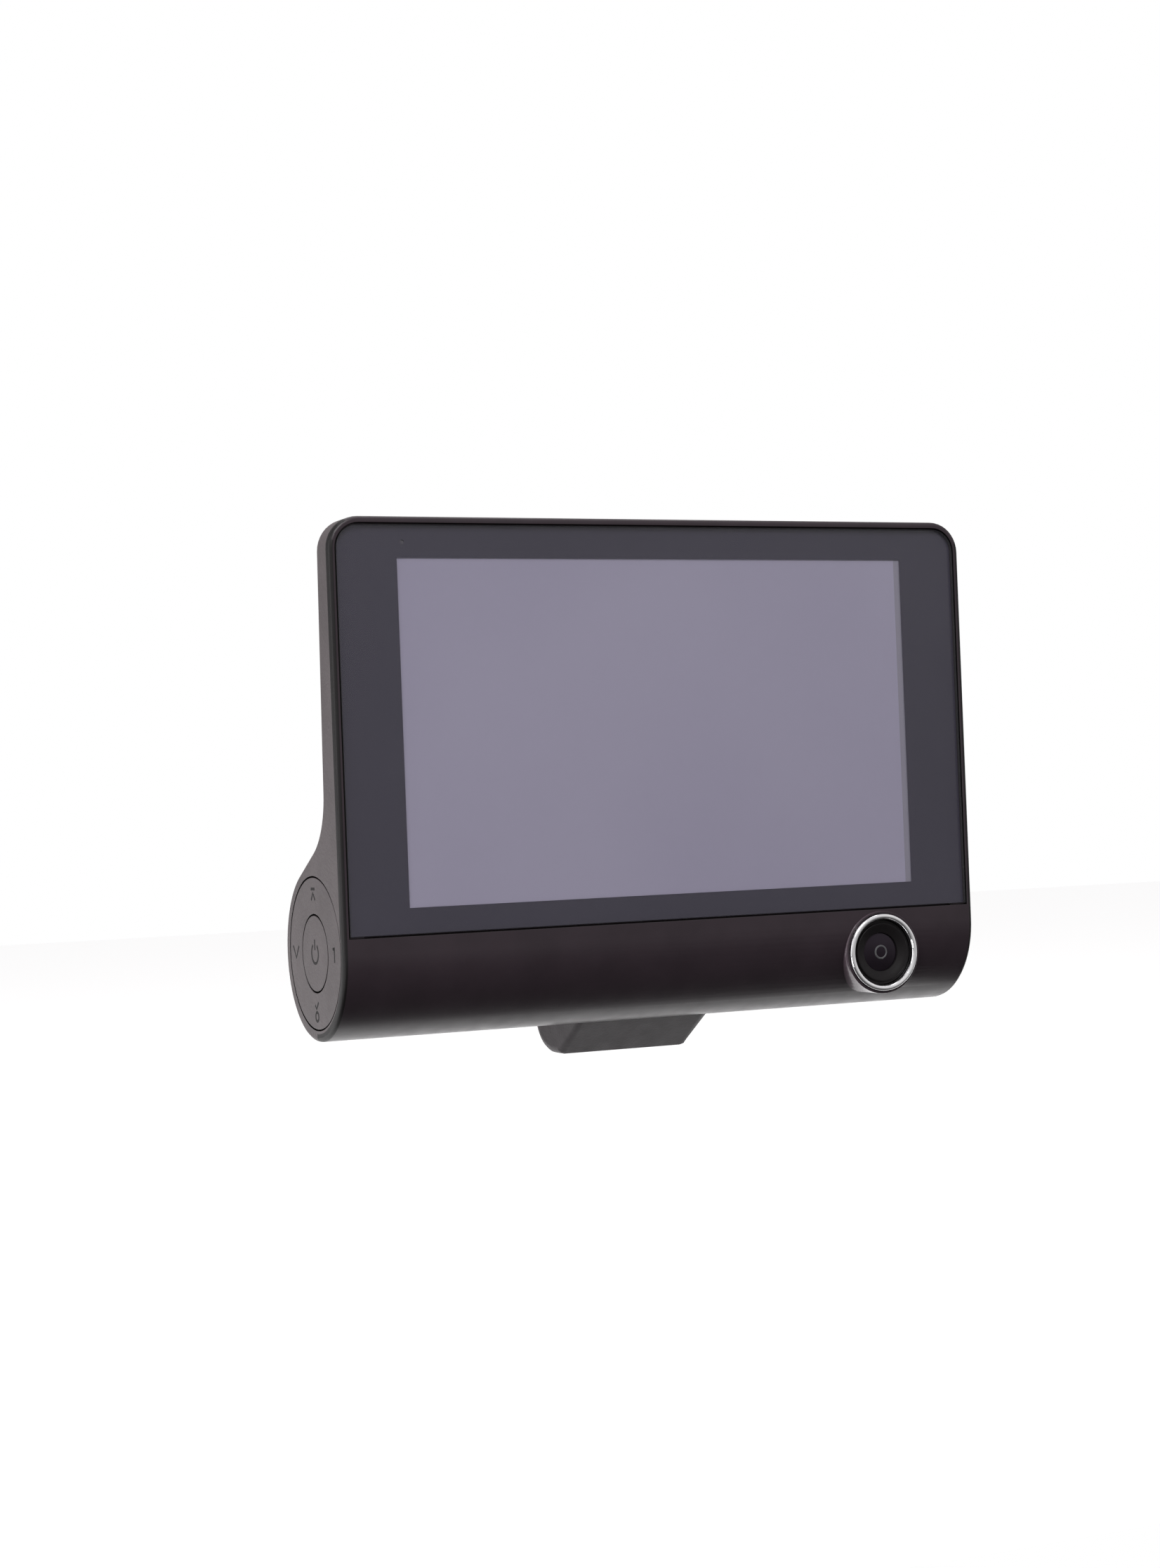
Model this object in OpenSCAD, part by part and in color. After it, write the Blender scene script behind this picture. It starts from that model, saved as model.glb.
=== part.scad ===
// Dash camera. A thin slab with a 4 inch screen stands on a round lower tube, which holds
// the side keys, the cabin lens, the road lens and the electronics. Millimetres, +Z up.
// +X is to the right of a person who faces the screen, and +Y runs from the screen to the road.
// The origin is the middle of the bracket slot on the back. Inside this file the pieces are
// drawn from the front glass plane (y = 0) and the lowest line of the tube (z = 0), and
// placed() moves them to the origin.

/* [Body] */
// Width of the body from end face to end face
body_w = 108; // [107:0.5:112]
// Height of the body, without the road lens housing that hangs below
body_h = 77.7; // [77.5:0.1:80]
// Thickness of the slab at its top edge
slab_top_t = 5.6; // [5.5:0.1:6.5]
// Forward lean of the slab's back face, in degrees
back_lean = 1.85; // [1:0.05:2.5]
// Radius of the lower tube
tube_r = 13.2; // [13.1:0.1:13.6]
// Slope of the shoulder between slab and tube, in degrees below level
shoulder_slope = 27.4; // [26:0.2:30]
// Radius of the hollow curve between slab and shoulder
neck_r = 10; // [8:0.5:12]
// Radius of the slab's two upper corners
corner_r = 4.8; // [4:0.2:5.5]
// Thickness of the plastic walls
wall = 1.2; // [1.1:0.05:1.3]
// Depth of the dark front rim on the side faces
rim_depth = 1.4; // [1.3:0.05:1.5]

/* [Screen] */
// Width of the lit picture area
picture_w = 86.4; // [80:0.1:88]
// Height of the lit picture area
picture_h = 51.84; // [48:0.1:52.5]
// Height of the picture's lower edge above the tube's lowest line
picture_z = 19.8; // [19.4:0.1:20.4]
// Gap between the glass and the front rim
glass_gap = 0.2; // [0.15:0.05:0.3]
// Width of the front rim beside the glass
rim_w = 0.95; // [0.9:0.05:1.2]
// Thickness of the cover glass
glass_t = 0.7; // [0.6:0.05:0.75]

/* [Side keys] */
// Outer radius of the ring key
ring_key_r = 11.4; // [11:0.05:11.5]
// Outer radius of the power key
power_key_r = 5.7; // [5.2:0.1:5.8]
// Gap around each key
key_gap = 0.25; // [0.15:0.05:0.25]
// Travel of the power key
power_travel = 0.5; // [0.3:0.1:0.5]

/* [Cabin lens] */
// Distance of the cabin lens to the right of the middle
cabin_x = 36.8; // [30:0.2:38]
// Height of the cabin lens above the tube's lowest line
cabin_z = 8.8; // [8.4:0.1:9]
// Outer radius of the boss round the cabin lens
boss_r = 6.6; // [6.5:0.05:6.7]
// Outer radius of the chrome ring
chrome_r = 6.15; // [6:0.05:6.2]

/* [Road lens] */
// Width of the road lens housing
pod_w = 23; // [22:0.5:25]
// How far the housing hangs below the tube
pod_drop = 5.4; // [5:0.1:6]
// How far back the housing's rear face stands from the glass plane
pod_back = 29.8; // [29.4:0.1:31]
// Height of the road lens above the tube's lowest line
road_z = 7.6; // [7:0.2:8.4]

/* [Bracket slot] */
// Width of the slot's wide part
slot_w = 12; // [11:0.5:13]
// Thickness of the slot's wide part
slot_t = 2.2; // [2:0.1:2.4]
// Width of the slot's mouth
slot_neck_w = 7; // [6:0.5:8]

/* [Sockets] */
// Radius of the camera input jack's hole
jack_r = 1.3; // [1.25:0.01:1.35]
// Radius of the reset pin hole
pinhole_r = 0.75; // [0.7:0.05:0.9]

/* [Hidden] */

$fn = 48;
far = 100;                          // longer than anything it cuts through
half_w = body_w / 2;
shell_black = "#1f1b1e";
shell_grey = "#5c5658";
pod_grey = "#454144";
board_green = "#1f5b3a";
metal = "#b9bcc0";
screw_steel = "#8d9094";
flex_amber = "#b5793a";

// Centre of the bracket slot, which is the origin
slot_y = 9.0;
slot_z = 66;

// Lines of the side profile. The shoulder touches the tube, and the neck curve touches
// both the shoulder and the leaning back face.
tube_c = [tube_r, tube_r];
shoulder_n = [sin(shoulder_slope), cos(shoulder_slope)];
back_n = [cos(back_lean), sin(back_lean)];
shoulder_at = tube_c * shoulder_n + tube_r;
back_at = [slab_top_t, body_h] * back_n;
neck_det = back_n[0] * shoulder_n[1] - back_n[1] * shoulder_n[0];
neck_c = [((back_at + neck_r) * shoulder_n[1] - (shoulder_at + neck_r) * back_n[1]) / neck_det,
    ((shoulder_at + neck_r) * back_n[0] - (back_at + neck_r) * shoulder_n[0]) / neck_det];

// Front opening and the stack behind it
opening_x = half_w - rim_w;
opening_top = body_h - 1.0;
opening_z = picture_z - 4.1;
opening_r = corner_r - 1.0;
glass_x = opening_x - glass_gap;
mask_t = 0.06;
tape_t = 0.14;
ledge_y = glass_t + mask_t + tape_t;
ledge_back = 2.0;
ledge_x = half_w - 3.6;
ledge_z = opening_z + 1.9;
ledge_top = opening_top - 1.8;
lcd_t = 0.9;
guide_t = 0.9;
tray_t = 0.25;
module_x = picture_w / 2 + 3.6;
module_z = picture_z - 1.8;
module_top = picture_z + picture_h + 1.4;
led_x = -picture_w / 2 + 0.9;
led_z = picture_z + picture_h + 2.3;

// Circuit boards
board_y = 12.5;
board_t = 1.2;
board_back = board_y + board_t;
board_x0 = -41;
board_x1 = 52.4;
board_z0 = 3.4;
board_z1 = 24;
screw_r = 0.7;
screw_gap = 0.03;
head_r = 1.4;
head_t = 0.8;
board_posts = [[-37, 20.5], [20, 20.5], [-37, 6.2]];
case_posts = [[50.4, 69], [50.4, 42]];
housing_posts_x = 9.4;
housing_posts_z = 16.6;
shoe_w = 20;
shoe_h = 18;
shoe_t = 5;
shoe_screw_x = 7.6;
post_r = 1.7;
boss_h = 0.3;

// Speaker, microphone and vents
speaker_c = [31, 13.2];
speaker_r = 7.2;
mesh_r = 5.5;
sound_hole_r = 0.6;
mic_c = [-24, 16];
vent_x = 32;
vent_z = 46;
vent_w = 10;
vent_h = 1;
vent_pitch = 3.2;
vents = 5;

// Side keys: depths are counted inwards from the end face
key_y = 12.9;
key_z = 13.3;
key_face_t = 1.6;
ring_key_in = power_key_r + key_gap;
pivot_r = 0.5;
pivot_gap = 0.04;
gimbal_in = 7.2;
gimbal_out = 8.5;
gimbal_z = [-3.9, -2.3];
frame_z = [-6.0, -5.0];
switch_at = 10.2;
pivot_z = -3.1;
lug_at = 8.75;
switch_z = [-9, -7.9];

// Sockets on the right end
usb_c = [15.65, 13.9];
usb_half = [1.95, 3.85];
usb_in = [1.6, 3.45];
usb_tongue = [0.5, 2.4];
jack_c = [16.3, 6.2];
jack_nose_r = 2.3;
reset_c = [15.4, 21.0];
card_c = [11.55, 17.5];
card_w = 11;
card_t = 0.7;
card_l = 15;
card_gap = 0.12;
card_slot = [0.65, 5.8];
shell_gap = 0.1;                    // between a socket and the wall or opening round it

// Moves a piece from drawing position to the origin at the bracket slot
module placed() translate([0, -slot_y, -slot_z]) children();

function arc(c, r, a0, a1, n) =
    [for (i = [0:n]) let (a = a0 + (a1 - a0) * i / n) c + r * [cos(a), sin(a)]];

// Side profile in the Y-Z plane, made smaller all round by d
module profile(d = 0) polygon(concat(
    [[d, body_h - d]],
    arc(tube_c, tube_r - d, 180, 450 - shoulder_slope, 54),
    arc(neck_c, neck_r + d, 270 - shoulder_slope, 180 + back_lean, 12),
    [[(back_at - d - back_n[1] * (body_h - d)) / back_n[0], body_h - d]]));

// Front outline in the X-Z plane with two round upper corners
module face(x, z0, z1, r) polygon(concat(
    [[-x, z0], [x, z0]],
    arc([x - r, z1 - r], r, 0, 90, 10),
    arc([-x + r, z1 - r], r, 90, 180, 10)));

// Pulls a Y-Z drawing out along X, from x0 to x1
module along_x(x0, x1) translate([x0, 0, 0]) rotate([90, 0, 90])
    linear_extrude(x1 - x0) children();

// Pulls an X-Z drawing out along Y, from y0 to y1
module along_y(y0, y1) translate([0, y1, 0]) rotate([90, 0, 0])
    linear_extrude(y1 - y0) children();

module box(x, y, z) translate([x[0], y[0], z[0]])
    cube([x[1] - x[0], y[1] - y[0], z[1] - z[0]]);

// A round bar or hole along Y
module rod_y(x, z, r, y0, y1) translate([x, y0, z]) rotate([-90, 0, 0])
    cylinder(r = r, h = y1 - y0);

// A round bar or hole along X
module rod_x(y, z, r, x0, x1) translate([x0, y, z]) rotate([0, 90, 0])
    cylinder(r = r, h = x1 - x0);

// Reach of half on each side of c
function span(c, half) = [c - half, c + half];

// The whole body as one solid, made smaller all round by d
module body_block(d = 0) intersection() {
    along_x(-half_w + d, half_w - d) profile(d);
    along_y(-1, far) face(half_w - d, -1, body_h - d, corner_r - d);
}

// Part of the side profile that the dark front piece covers
module front_zone() {
    translate([-1, -1]) square([1 + rim_depth, far]);
    translate([-1, -1]) square([1 + tube_r, 1 + opening_z]);
}

// Local frames: z = 0 is the outer surface and +z points outwards
module at_cabin() translate([cabin_x, 0, cabin_z]) rotate([90, 0, 0]) children();
module at_road() translate([0, pod_back, road_z]) rotate([-90, 0, 0]) children();
module at_keys() translate([-half_w, key_y, key_z]) rotate([0, -90, 0]) children();

// Tube of radii r0 to r1 between two heights
module ring(r0, r1, z0, z1) translate([0, 0, z0]) difference() {
    cylinder(r = r1, h = z1 - z0);
    translate([0, 0, -1]) cylinder(r = r0, h = z1 - z0 + 2);
}

// A lens: flat disc with a shallow domed front, dome_h high
module lens(r, t, dome_h) {
    dome_r = (r * r + dome_h * dome_h) / (2 * dome_h);
    edge = asin(r / dome_r);
    rotate_extrude() polygon(concat([[0, -t], [r, -t]],
        [for (i = [0:8]) let (a = edge * (1 - i / 8))
            [dome_r * sin(a), dome_h - dome_r + dome_r * cos(a)]]));
}

// Pan head screw with a cross recess; its head sits above z = 0
module screw(len) difference() {
    union() {
        cylinder(r = head_r, h = head_t);
        translate([0, 0, -len]) cylinder(r = screw_r, h = len + 0.1);
    }
    for (a = [0, 90]) rotate(a) translate([-0.7, -0.15, head_t - 0.4]) cube([1.4, 0.3, 1]);
}

// ---- shells -------------------------------------------------------------------------

module front_bezel() color(shell_black) placed() difference() {
    union() {
        intersection() {
            body_block();
            along_y(-1, ledge_y) difference() {
                face(far, opening_z, far, 1);
                face(opening_x, -1, opening_top, opening_r);
            }
        }
        intersection() {
            body_block();
            along_y(ledge_y, rim_depth) difference() {
                face(far, opening_z, far, 1);
                face(ledge_x, -1, ledge_top, 1);
            }
        }
        along_y(rim_depth, ledge_back) difference() {
            face(half_w - wall - 0.1, opening_z, body_h - wall - 0.1, corner_r - wall);
            face(ledge_x, ledge_z, ledge_top, 1);
        }
        along_y(wall, ledge_back) face(ledge_x + 1, opening_z - 2, ledge_z, 0.1);
        intersection() {
            body_block();
            along_x(-far, far) difference() {
                front_zone();
                profile(wall);
                translate([-1, opening_z]) square(far);
            }
        }
        difference() {
            at_cabin() translate([0, 0, -8]) cylinder(r = boss_r, h = 8 + boss_h);
            along_x(0, far) profile(wall);
        }
        for (s = [-1, 1], p = case_posts) rod_y(s * p[0], p[1], post_r, ledge_y, 4.2);
    }
    rod_x(key_y, key_z, ring_key_r + key_gap, -far, -half_w + 2.5);
    at_cabin() translate([0, 0, -9]) cylinder(r = boss_r - 1, h = 10);
    at_cabin() translate([0, 0, -0.5]) cylinder(r = chrome_r + 0.05, h = 2);
    for (s = [-1, 1], p = case_posts)
        rod_y(s * p[0], p[1], screw_r + screw_gap, ledge_y + 0.6, 5);
}

module rear_cover() color(shell_grey) placed() difference() {
    union() {
        difference() {
            intersection() {
                body_block();
                along_x(-far, far) union() {
                    difference() {
                        profile();
                        front_zone();
                    }
                    difference() {
                        profile(wall);
                        translate([-1, opening_z]) square([1 + rim_depth, far]);
                    }
                }
            }
            body_block(wall);
        }
        intersection() {
            body_block(0.3);
            union() {
                for (p = board_posts) rod_y(p[0], p[1], 1.8, board_back, far);
                for (s = [-1, 1]) rod_y(s * housing_posts_x, housing_posts_z, 2, 23.4, far);
            }
        }
    }
    // Key opening in the left end, and the sockets in the right end
    rod_x(key_y, key_z, ring_key_r + key_gap, -far, -half_w + wall + 0.01);
    box([half_w - 2, far], span(usb_c[0], usb_half[0] + 2 * shell_gap),
        span(usb_c[1], usb_half[1] + 2 * shell_gap));
    rod_x(jack_c[0], jack_c[1], jack_nose_r + shell_gap, half_w - 2, far);
    rod_x(reset_c[0], reset_c[1], pinhole_r, half_w - 2, far);
    box([half_w - 2, far], span(card_c[0], card_slot[0]), span(card_c[1], card_slot[1]));
    // Road lens, its two screws, the speaker, the microphone and the vents
    rod_y(0, road_z, 7.9, 16, far);
    for (s = [-1, 1]) rod_y(s * housing_posts_x, housing_posts_z, screw_r + screw_gap, 20, far);
    speaker_holes();
    translate([mic_c[0], mic_c[1], -1]) cylinder(r = 0.5, h = 4);
    for (s = [-1, 1], i = [0:vents - 1]) let (z = vent_z + vent_pitch * i)
        box(span(s * vent_x, vent_w / 2), [4, 12], [z, z + vent_h]);
    for (s = [-1, 1], p = case_posts) {
        rod_y(s * p[0], p[1], screw_r + screw_gap, 2, 12);
        rod_y(s * p[0], p[1], head_r + 0.1, case_head_y(p[1]), 12);
    }
    for (s = [-1, 1]) rod_y(s * shoe_screw_x, slot_z, screw_r + screw_gap, 2, 12);
    for (p = board_posts) rod_y(p[0], p[1], screw_r + screw_gap, board_y, board_back + 4.5);
}

// Depth of the back face at height z, and the seat of a case screw's head in it
function back_y(z) = (back_at - back_n[1] * z) / back_n[0];
function case_head_y(z) = back_y(z) - head_t;

module speaker_holes() {
    rod_y(speaker_c[0], speaker_c[1], sound_hole_r, 22, far);
    for (n = [6, 12], i = [0:n - 1]) let (a = 360 * i / n, r = n / 3)
        rod_y(speaker_c[0] + r * cos(a), speaker_c[1] + r * sin(a), sound_hole_r, 20, far);
}

// Side profile of the road lens housing: sloping front, flat keel, round lower corner
module pod_profile(d = 0) {
    low = -pod_drop + d;
    low_r = 6.7 - d;
    top = 19.5 - d;
    back = pod_back - d;
    polygon(concat(
        [[11 + d, 1.1], [20.2 + d / 2, low + 0.1], [20.8 + d / 2, low]],
        arc([back - low_r, low + low_r], low_r, 270, 360, 14),
        arc([back - 2.5, top - 2.5], 2.5, 0, 90, 8),
        [[18, top], [18, 2]]));
}

module road_lens_housing() color(pod_grey) placed() difference() {
    along_x(-pod_w / 2, pod_w / 2) pod_profile();
    along_x(-far, far) profile();
    rod_y(0, road_z, 8.6, 16, pod_back - 2.2);
    rod_y(0, road_z, 7.1, 16, far);
    at_road() translate([0, 0, -1]) cylinder(r = 9.3, h = 3);
    for (s = [-1, 1]) rod_y(s * housing_posts_x, housing_posts_z, screw_r + screw_gap, 20, 28.2);
}

module bracket_shoe() color(shell_grey) placed() difference() {
    box([-shoe_w / 2, shoe_w / 2], [slab_top_t - 1, slot_y + shoe_t / 2],
        span(slot_z, shoe_h / 2));
    along_x(-far, far) profile();
    box([-slot_w / 2, slot_w / 2], span(slot_y, slot_t / 2),
        [slot_z - shoe_h / 2 + 3, far]);
    box([-slot_neck_w / 2, slot_neck_w / 2], [slot_y, far],
        [slot_z - shoe_h / 2 + 3, far]);
    for (s = [-1, 1])
        rod_y(s * shoe_screw_x, slot_z, screw_r + screw_gap, 2, slot_y + 1);
}

// ---- screen -------------------------------------------------------------------------

module glass_face(grow = 0) face(glass_x + grow, opening_z + glass_gap - grow,
    opening_top - glass_gap + grow, opening_r - glass_gap + grow);

module screen_glass() color("#3f3b47") placed() along_y(0, glass_t) glass_face();

module screen_mask() color("#17161a") placed() along_y(glass_t, glass_t + mask_t) difference() {
    glass_face(-0.1);
    translate([-picture_w / 2, picture_z]) square([picture_w, picture_h]);
    translate([led_x, led_z]) circle(r = 0.35);
}

module glass_tape() color("#0f0f10") placed()
    along_y(glass_t + mask_t, ledge_y) difference() {
        glass_face(-0.25);
        face(ledge_x + 0.3, ledge_z + 0.3, ledge_top - 0.3, 1);
    }

module lcd_panel() color("#8a8494") placed()
    box([-module_x, module_x], [ledge_y, ledge_y + lcd_t], [module_z, module_top]);

module light_guide() color("#e6e6ea") placed()
    box([-module_x + 0.5, module_x - 0.5], [ledge_y + lcd_t, ledge_y + lcd_t + guide_t],
        [module_z + 0.5, module_top - 0.5]);

module backlight_tray() color(metal) placed() difference() {
    box([-module_x, module_x], [ledge_y + lcd_t, lcd_back], [module_z, module_top]);
    box([-module_x + 0.45, module_x - 0.45], [ledge_y, lcd_back - tray_t],
        [module_z + 0.45, module_top - 0.45]);
}

lcd_back = ledge_y + lcd_t + guide_t + tray_t;

module lcd_ribbon() color(flex_amber) placed() along_x(-8, 8) polygon([
    [lcd_back, 27], [lcd_back + 0.15, 27], [lcd_back + 0.15, 25],
    [board_y, 21.15], [board_y, 17.5], [board_y - 0.15, 17.5], [board_y - 0.15, 21],
    [lcd_back, 24.85]]);

module indicator_led() color("#e9e9f2") placed() {
    rod_y(led_x, led_z, 0.6, glass_t + mask_t + 0.1, 1.9);
    box(span(led_x, 1.2), [2.1, 2.7], span(led_z, 0.6));
    rod_y(led_x, led_z, 0.5, 1.8, 2.2);
}

// ---- side keys ----------------------------------------------------------------------

module ring_key() color(shell_grey) placed() at_keys() {
    difference() {
        ring(ring_key_in, ring_key_r, -key_face_t, 0);
        ring(6.6, 10.9, -key_face_t - 1, -1.1);
    }
    // Posts that press the four switches, and two lugs with the pivots of the rocking key
    for (a = [0:90:270]) rotate(a) translate([switch_at, 0, -7])
        cylinder(r = 0.55, h = 6);
    for (a = [0, 180]) rotate(a) {
        translate([lug_at, -1, pivot_z - 0.6]) cube([0.8, 2, 2.7]);
        translate([7.6, 0, pivot_z]) rotate([0, 90, 0]) cylinder(r = pivot_r, h = 1.4);
    }
}

module power_key() color(shell_grey) placed() at_keys() {
    translate([0, 0, -key_face_t]) cylinder(r = power_key_r, h = key_face_t);
    translate([0, 0, -2.6]) cylinder(r = power_key_r, h = 1.1);
    translate([0, 0, -2.6]) cylinder(r = 6.5, h = 0.5);
    translate([0, 0, -6.9]) cylinder(r = 1.5, h = 4.5);
}

module key_gimbal() color("#4a4a4d") placed() at_keys() {
    difference() {
        ring(gimbal_in, gimbal_out, gimbal_z[0], gimbal_z[1]);
        for (a = [0, 180]) rotate(a) translate([gimbal_in - 1, 0, pivot_z]) rotate([0, 90, 0])
            cylinder(r = pivot_r + pivot_gap, h = 4);
    }
    for (a = [90, 270]) rotate(a) translate([gimbal_out - 0.5, 0, pivot_z])
        rotate([0, 90, 0])
        cylinder(r = pivot_r, h = 1.3);
}

module key_frame() color("#3a3a3d") placed() difference() {
    union() {
        rod_x(tube_c[0], tube_c[1], tube_r - wall - 0.12, -half_w - frame_z[1],
            -half_w - frame_z[0]);
        at_keys() for (a = [90, 270]) rotate(a)
            translate([lug_at, -1, frame_z[1] - 0.5]) cube([0.6, 2, -frame_z[1] - 1.8]);
    }
    box([-half_w, 0], [0, ledge_back + 0.1], [0, far]);
    at_keys() {
        translate([0, 0, -8]) cylinder(r = 1.55, h = 6);
        for (a = [0:90:270]) rotate(a) translate([switch_at, 0, -8]) cylinder(r = 1, h = 4);
        for (a = [90, 270]) rotate(a) translate([8, 0, pivot_z]) rotate([0, 90, 0])
            cylinder(r = pivot_r + pivot_gap, h = 3);
    }
}

module key_membrane() color("#c9c7c2") placed() at_keys() {
    translate([0, 0, switch_z[1]]) cylinder(r = 10.75, h = 0.3);
    for (a = [0:90:270]) rotate(a) translate([switch_at - 0.6, 0, -7.65])
        cylinder(r = 1.1, h = 0.2);
    translate([0, 0, -7.65]) cylinder(r = 2, h = 0.2);
}

module tact_switches() color(metal) placed() at_keys() {
    for (a = [0:90:270]) rotate(a) translate([switch_at - 2.1, -1.5, switch_z[0]])
        cube([2.6, 3, switch_z[1] - switch_z[0]]);
    translate([-1.5, -1.5, switch_z[0]]) cube([3, 3, switch_z[1] - switch_z[0]]);
}

module key_board() color(board_green) placed() at_keys()
    translate([0, 0, -9.8]) cylinder(r = 10.8, h = 0.8);

module key_ribbon() color(flex_amber) placed()
    box([-half_w + 9.8, board_x0 + 3], [board_back, board_back + 0.15], [11, 16]);

// ---- cabin lens ---------------------------------------------------------------------

module cabin_chrome_ring() color("#dfe1e4") placed() at_cabin() rotate_extrude()
    polygon(concat([[chrome_r, -0.5], [chrome_r, 0.35]],
        arc([chrome_r - 0.45, 0.35], 0.45, 0, 180, 10), [[5.2, 0.2], [5.2, -0.5]]));

module cabin_lens_barrel() color("#18181a") placed() at_cabin() rotate_extrude()
    polygon([[3.05, -0.6], [3.3, -0.35], [4.65, 0.1], [4.65, -0.3], [5.1, -0.3], [5.1, -5],
        [4.2, -5], [4.2, -7], [2.4, -7], [2.4, -1.6], [3.05, -1.6]]);

module cabin_front_lens() color("#0c0c12") placed() at_cabin() translate([0, 0, -0.75])
    lens(3.0, 0.8, 0.35);

module cabin_rear_lens() color("#2a2633") placed() at_cabin() translate([0, 0, -3.6])
    lens(2.35, 1.2, 0.5);

module cabin_lens_holder() color("#1d1d1f") placed() at_cabin() difference() {
    translate([-5, -5, -9.6]) cube([10, 10, 3.6]);
    translate([0, 0, -10]) cylinder(r = 2.2, h = 5);
    translate([0, 0, -7.1]) cylinder(r = 4.25, h = 2);
    translate([0, 0, -10]) cube([6, 6, 2], center = true);
}

module cabin_image_sensor() color("#2b3145") placed() at_cabin()
    translate([-2.7, -2.7, -9.6]) cube([5.4, 5.4, 0.5]);

module cabin_sensor_board() color(board_green) placed() at_cabin()
    translate([-6, -6, -10.2]) cube([12, 12, 0.6]);

module cabin_ribbon() color(flex_amber) placed()
    box(span(cabin_x, 4), [10.2, 10.35], [cabin_z - 6, cabin_z + 5.5]);

// ---- road lens ----------------------------------------------------------------------

module road_trim_ring() color("#2c2a2d") placed() at_road() rotate_extrude()
    polygon([[7.4, -1], [9.2, -1], [9.2, 0.9], [8.9, 1.2], [8.3, 1.2], [7.4, 0.3]]);

module road_lens_barrel() color("#141416") placed() at_road() rotate_extrude()
    polygon([[5.7, -2], [5.7, 0.9], [6.6, 0.9], [6.6, 1.3], [7.0, 1.3], [7.0, -7.5],
        [5.4, -7.5], [5.4, -10.5], [3.2, -10.5], [3.2, -2]]);

module road_retaining_ring() color("#232326") placed() at_road() ring(5.1, 6.55, 0.95, 1.5);

module road_front_lens() color("#0b0b14") placed() at_road() translate([0, 0, 0.6])
    lens(5.6, 2, 1.6);

module road_rear_lens() color("#26222e") placed() at_road() translate([0, 0, -5])
    lens(3.15, 2.4, 0.7);

module road_lens_holder() color("#1d1d1f") placed() at_road() difference() {
    translate([0, 0, -13.2]) cylinder(r = 7, h = 4.2);
    translate([0, 0, -14]) cylinder(r = 3.4, h = 5);
    translate([0, 0, -10.55]) cylinder(r = 5.45, h = 2);
    translate([0, 0, -13.4]) cube([8.4, 8.4, 2.4], center = true);
}

module road_image_sensor() color("#2b3145") placed() at_road()
    translate([-3.9, -3.9, -13.2]) cube([7.8, 7.8, 0.7]);

module road_sensor_board() color(board_green) placed() at_road()
    translate([-9, -10, -14]) cube([18, 15.5, 0.8]);

// ---- main board ---------------------------------------------------------------------

module main_board() color(board_green) placed() difference() {
    box([board_x0, board_x1], [board_y, board_back], [board_z0, board_z1]);
    for (p = board_posts) rod_y(p[0], p[1], screw_r + screw_gap, 10, 16);
}

module processor() color("#232427") placed()
    box([-30, -18], [board_back, board_back + 1.2], [7.5, 18.5]);

module heat_pad() color("#8fa3b5") placed()
    box([-29.5, -18.5], [board_back + 1.2, board_back + 2.2], [8, 18]);

module shield_can() color(metal) placed() difference() {
    box([-32, -16], [board_back, board_back + 2.5], [6, 20]);
    box([-31.7, -16.3], [board_y, board_back + 2.2], [6.3, 19.7]);
}

module memory_chip() color("#1c1d20") placed()
    box([9, 21], [board_y - 1, board_y], [7, 15]);

module clock_cell() color(metal) placed() rod_y(14.8, 13, 3.4, board_back, board_back + 2.1);

module battery() color("#c5c9cf") placed() box([-39, -9.5], [6.8, 11.0], [6, 20.5]);

module battery_pad() color("#2f2f33") placed() box([-37, -11], [11, board_y], [8, 18.5]);

module speaker() color("#202022") placed() difference() {
    rod_y(speaker_c[0], speaker_c[1], speaker_r, 18.6, 21.8);
    rod_y(speaker_c[0], speaker_c[1], mesh_r + shell_gap, 21.2, 22);
}

module speaker_mesh() color("#3c3c3f") placed()
    rod_y(speaker_c[0], speaker_c[1], mesh_r, 21.2, 21.6);

module microphone() color(metal) placed() translate([mic_c[0], mic_c[1], 2.4]) difference() {
    cylinder(r = 2, h = 1.8);
    translate([0, 0, -1]) cylinder(r = 0.4, h = 1.6);
}

// ---- sockets ------------------------------------------------------------------------

module usb_socket() color(metal) placed() difference() {
    box([half_w - 9.2, half_w - shell_gap], span(usb_c[0], usb_half[0]),
        span(usb_c[1], usb_half[1]));
    difference() {
        box([half_w - 8.7, far], span(usb_c[0], usb_in[0]), span(usb_c[1], usb_in[1]));
        box([half_w - 8.8, half_w - 1.6], span(usb_c[0], usb_tongue[0]),
            span(usb_c[1], usb_tongue[1]));
    }
}

module camera_jack() color("#1b1b1d") placed() difference() {
    union() {
        box([half_w - 11.2, half_w - wall - shell_gap], [board_back, board_back + 5],
            span(jack_c[1], 2.5));
        rod_x(jack_c[0], jack_c[1], jack_nose_r, half_w - 2, half_w - shell_gap);
    }
    rod_x(jack_c[0], jack_c[1], jack_r, half_w - 10.1, far);
}

module card_socket() color(metal) placed() difference() {
    box([half_w - 15.7, half_w - wall - shell_gap], [10.6, board_y],
        span(card_c[1], 6.4));
    box([half_w - 15.2, far], span(card_c[0], card_t / 2 + card_gap),
        span(card_c[1], card_w / 2 + card_gap));
}

module memory_card() color("#151517") placed()
    box(span(half_w - shell_gap - card_l / 2, card_l / 2), span(card_c[0], card_t / 2),
        span(card_c[1], card_w / 2));

module reset_switch() color(metal) placed() difference() {
    box([half_w - 4.6, half_w - 1.6], [board_back, 17], span(reset_c[1], 1.6));
    box([half_w - 4.1, far], span(reset_c[0], 0.65), span(reset_c[1], 0.65));
}

module reset_button() color("#d9d6cf") placed()
    rod_x(reset_c[0], reset_c[1], 0.6, half_w - 3.6, half_w - 1.75);

// ---- fasteners ----------------------------------------------------------------------

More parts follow.
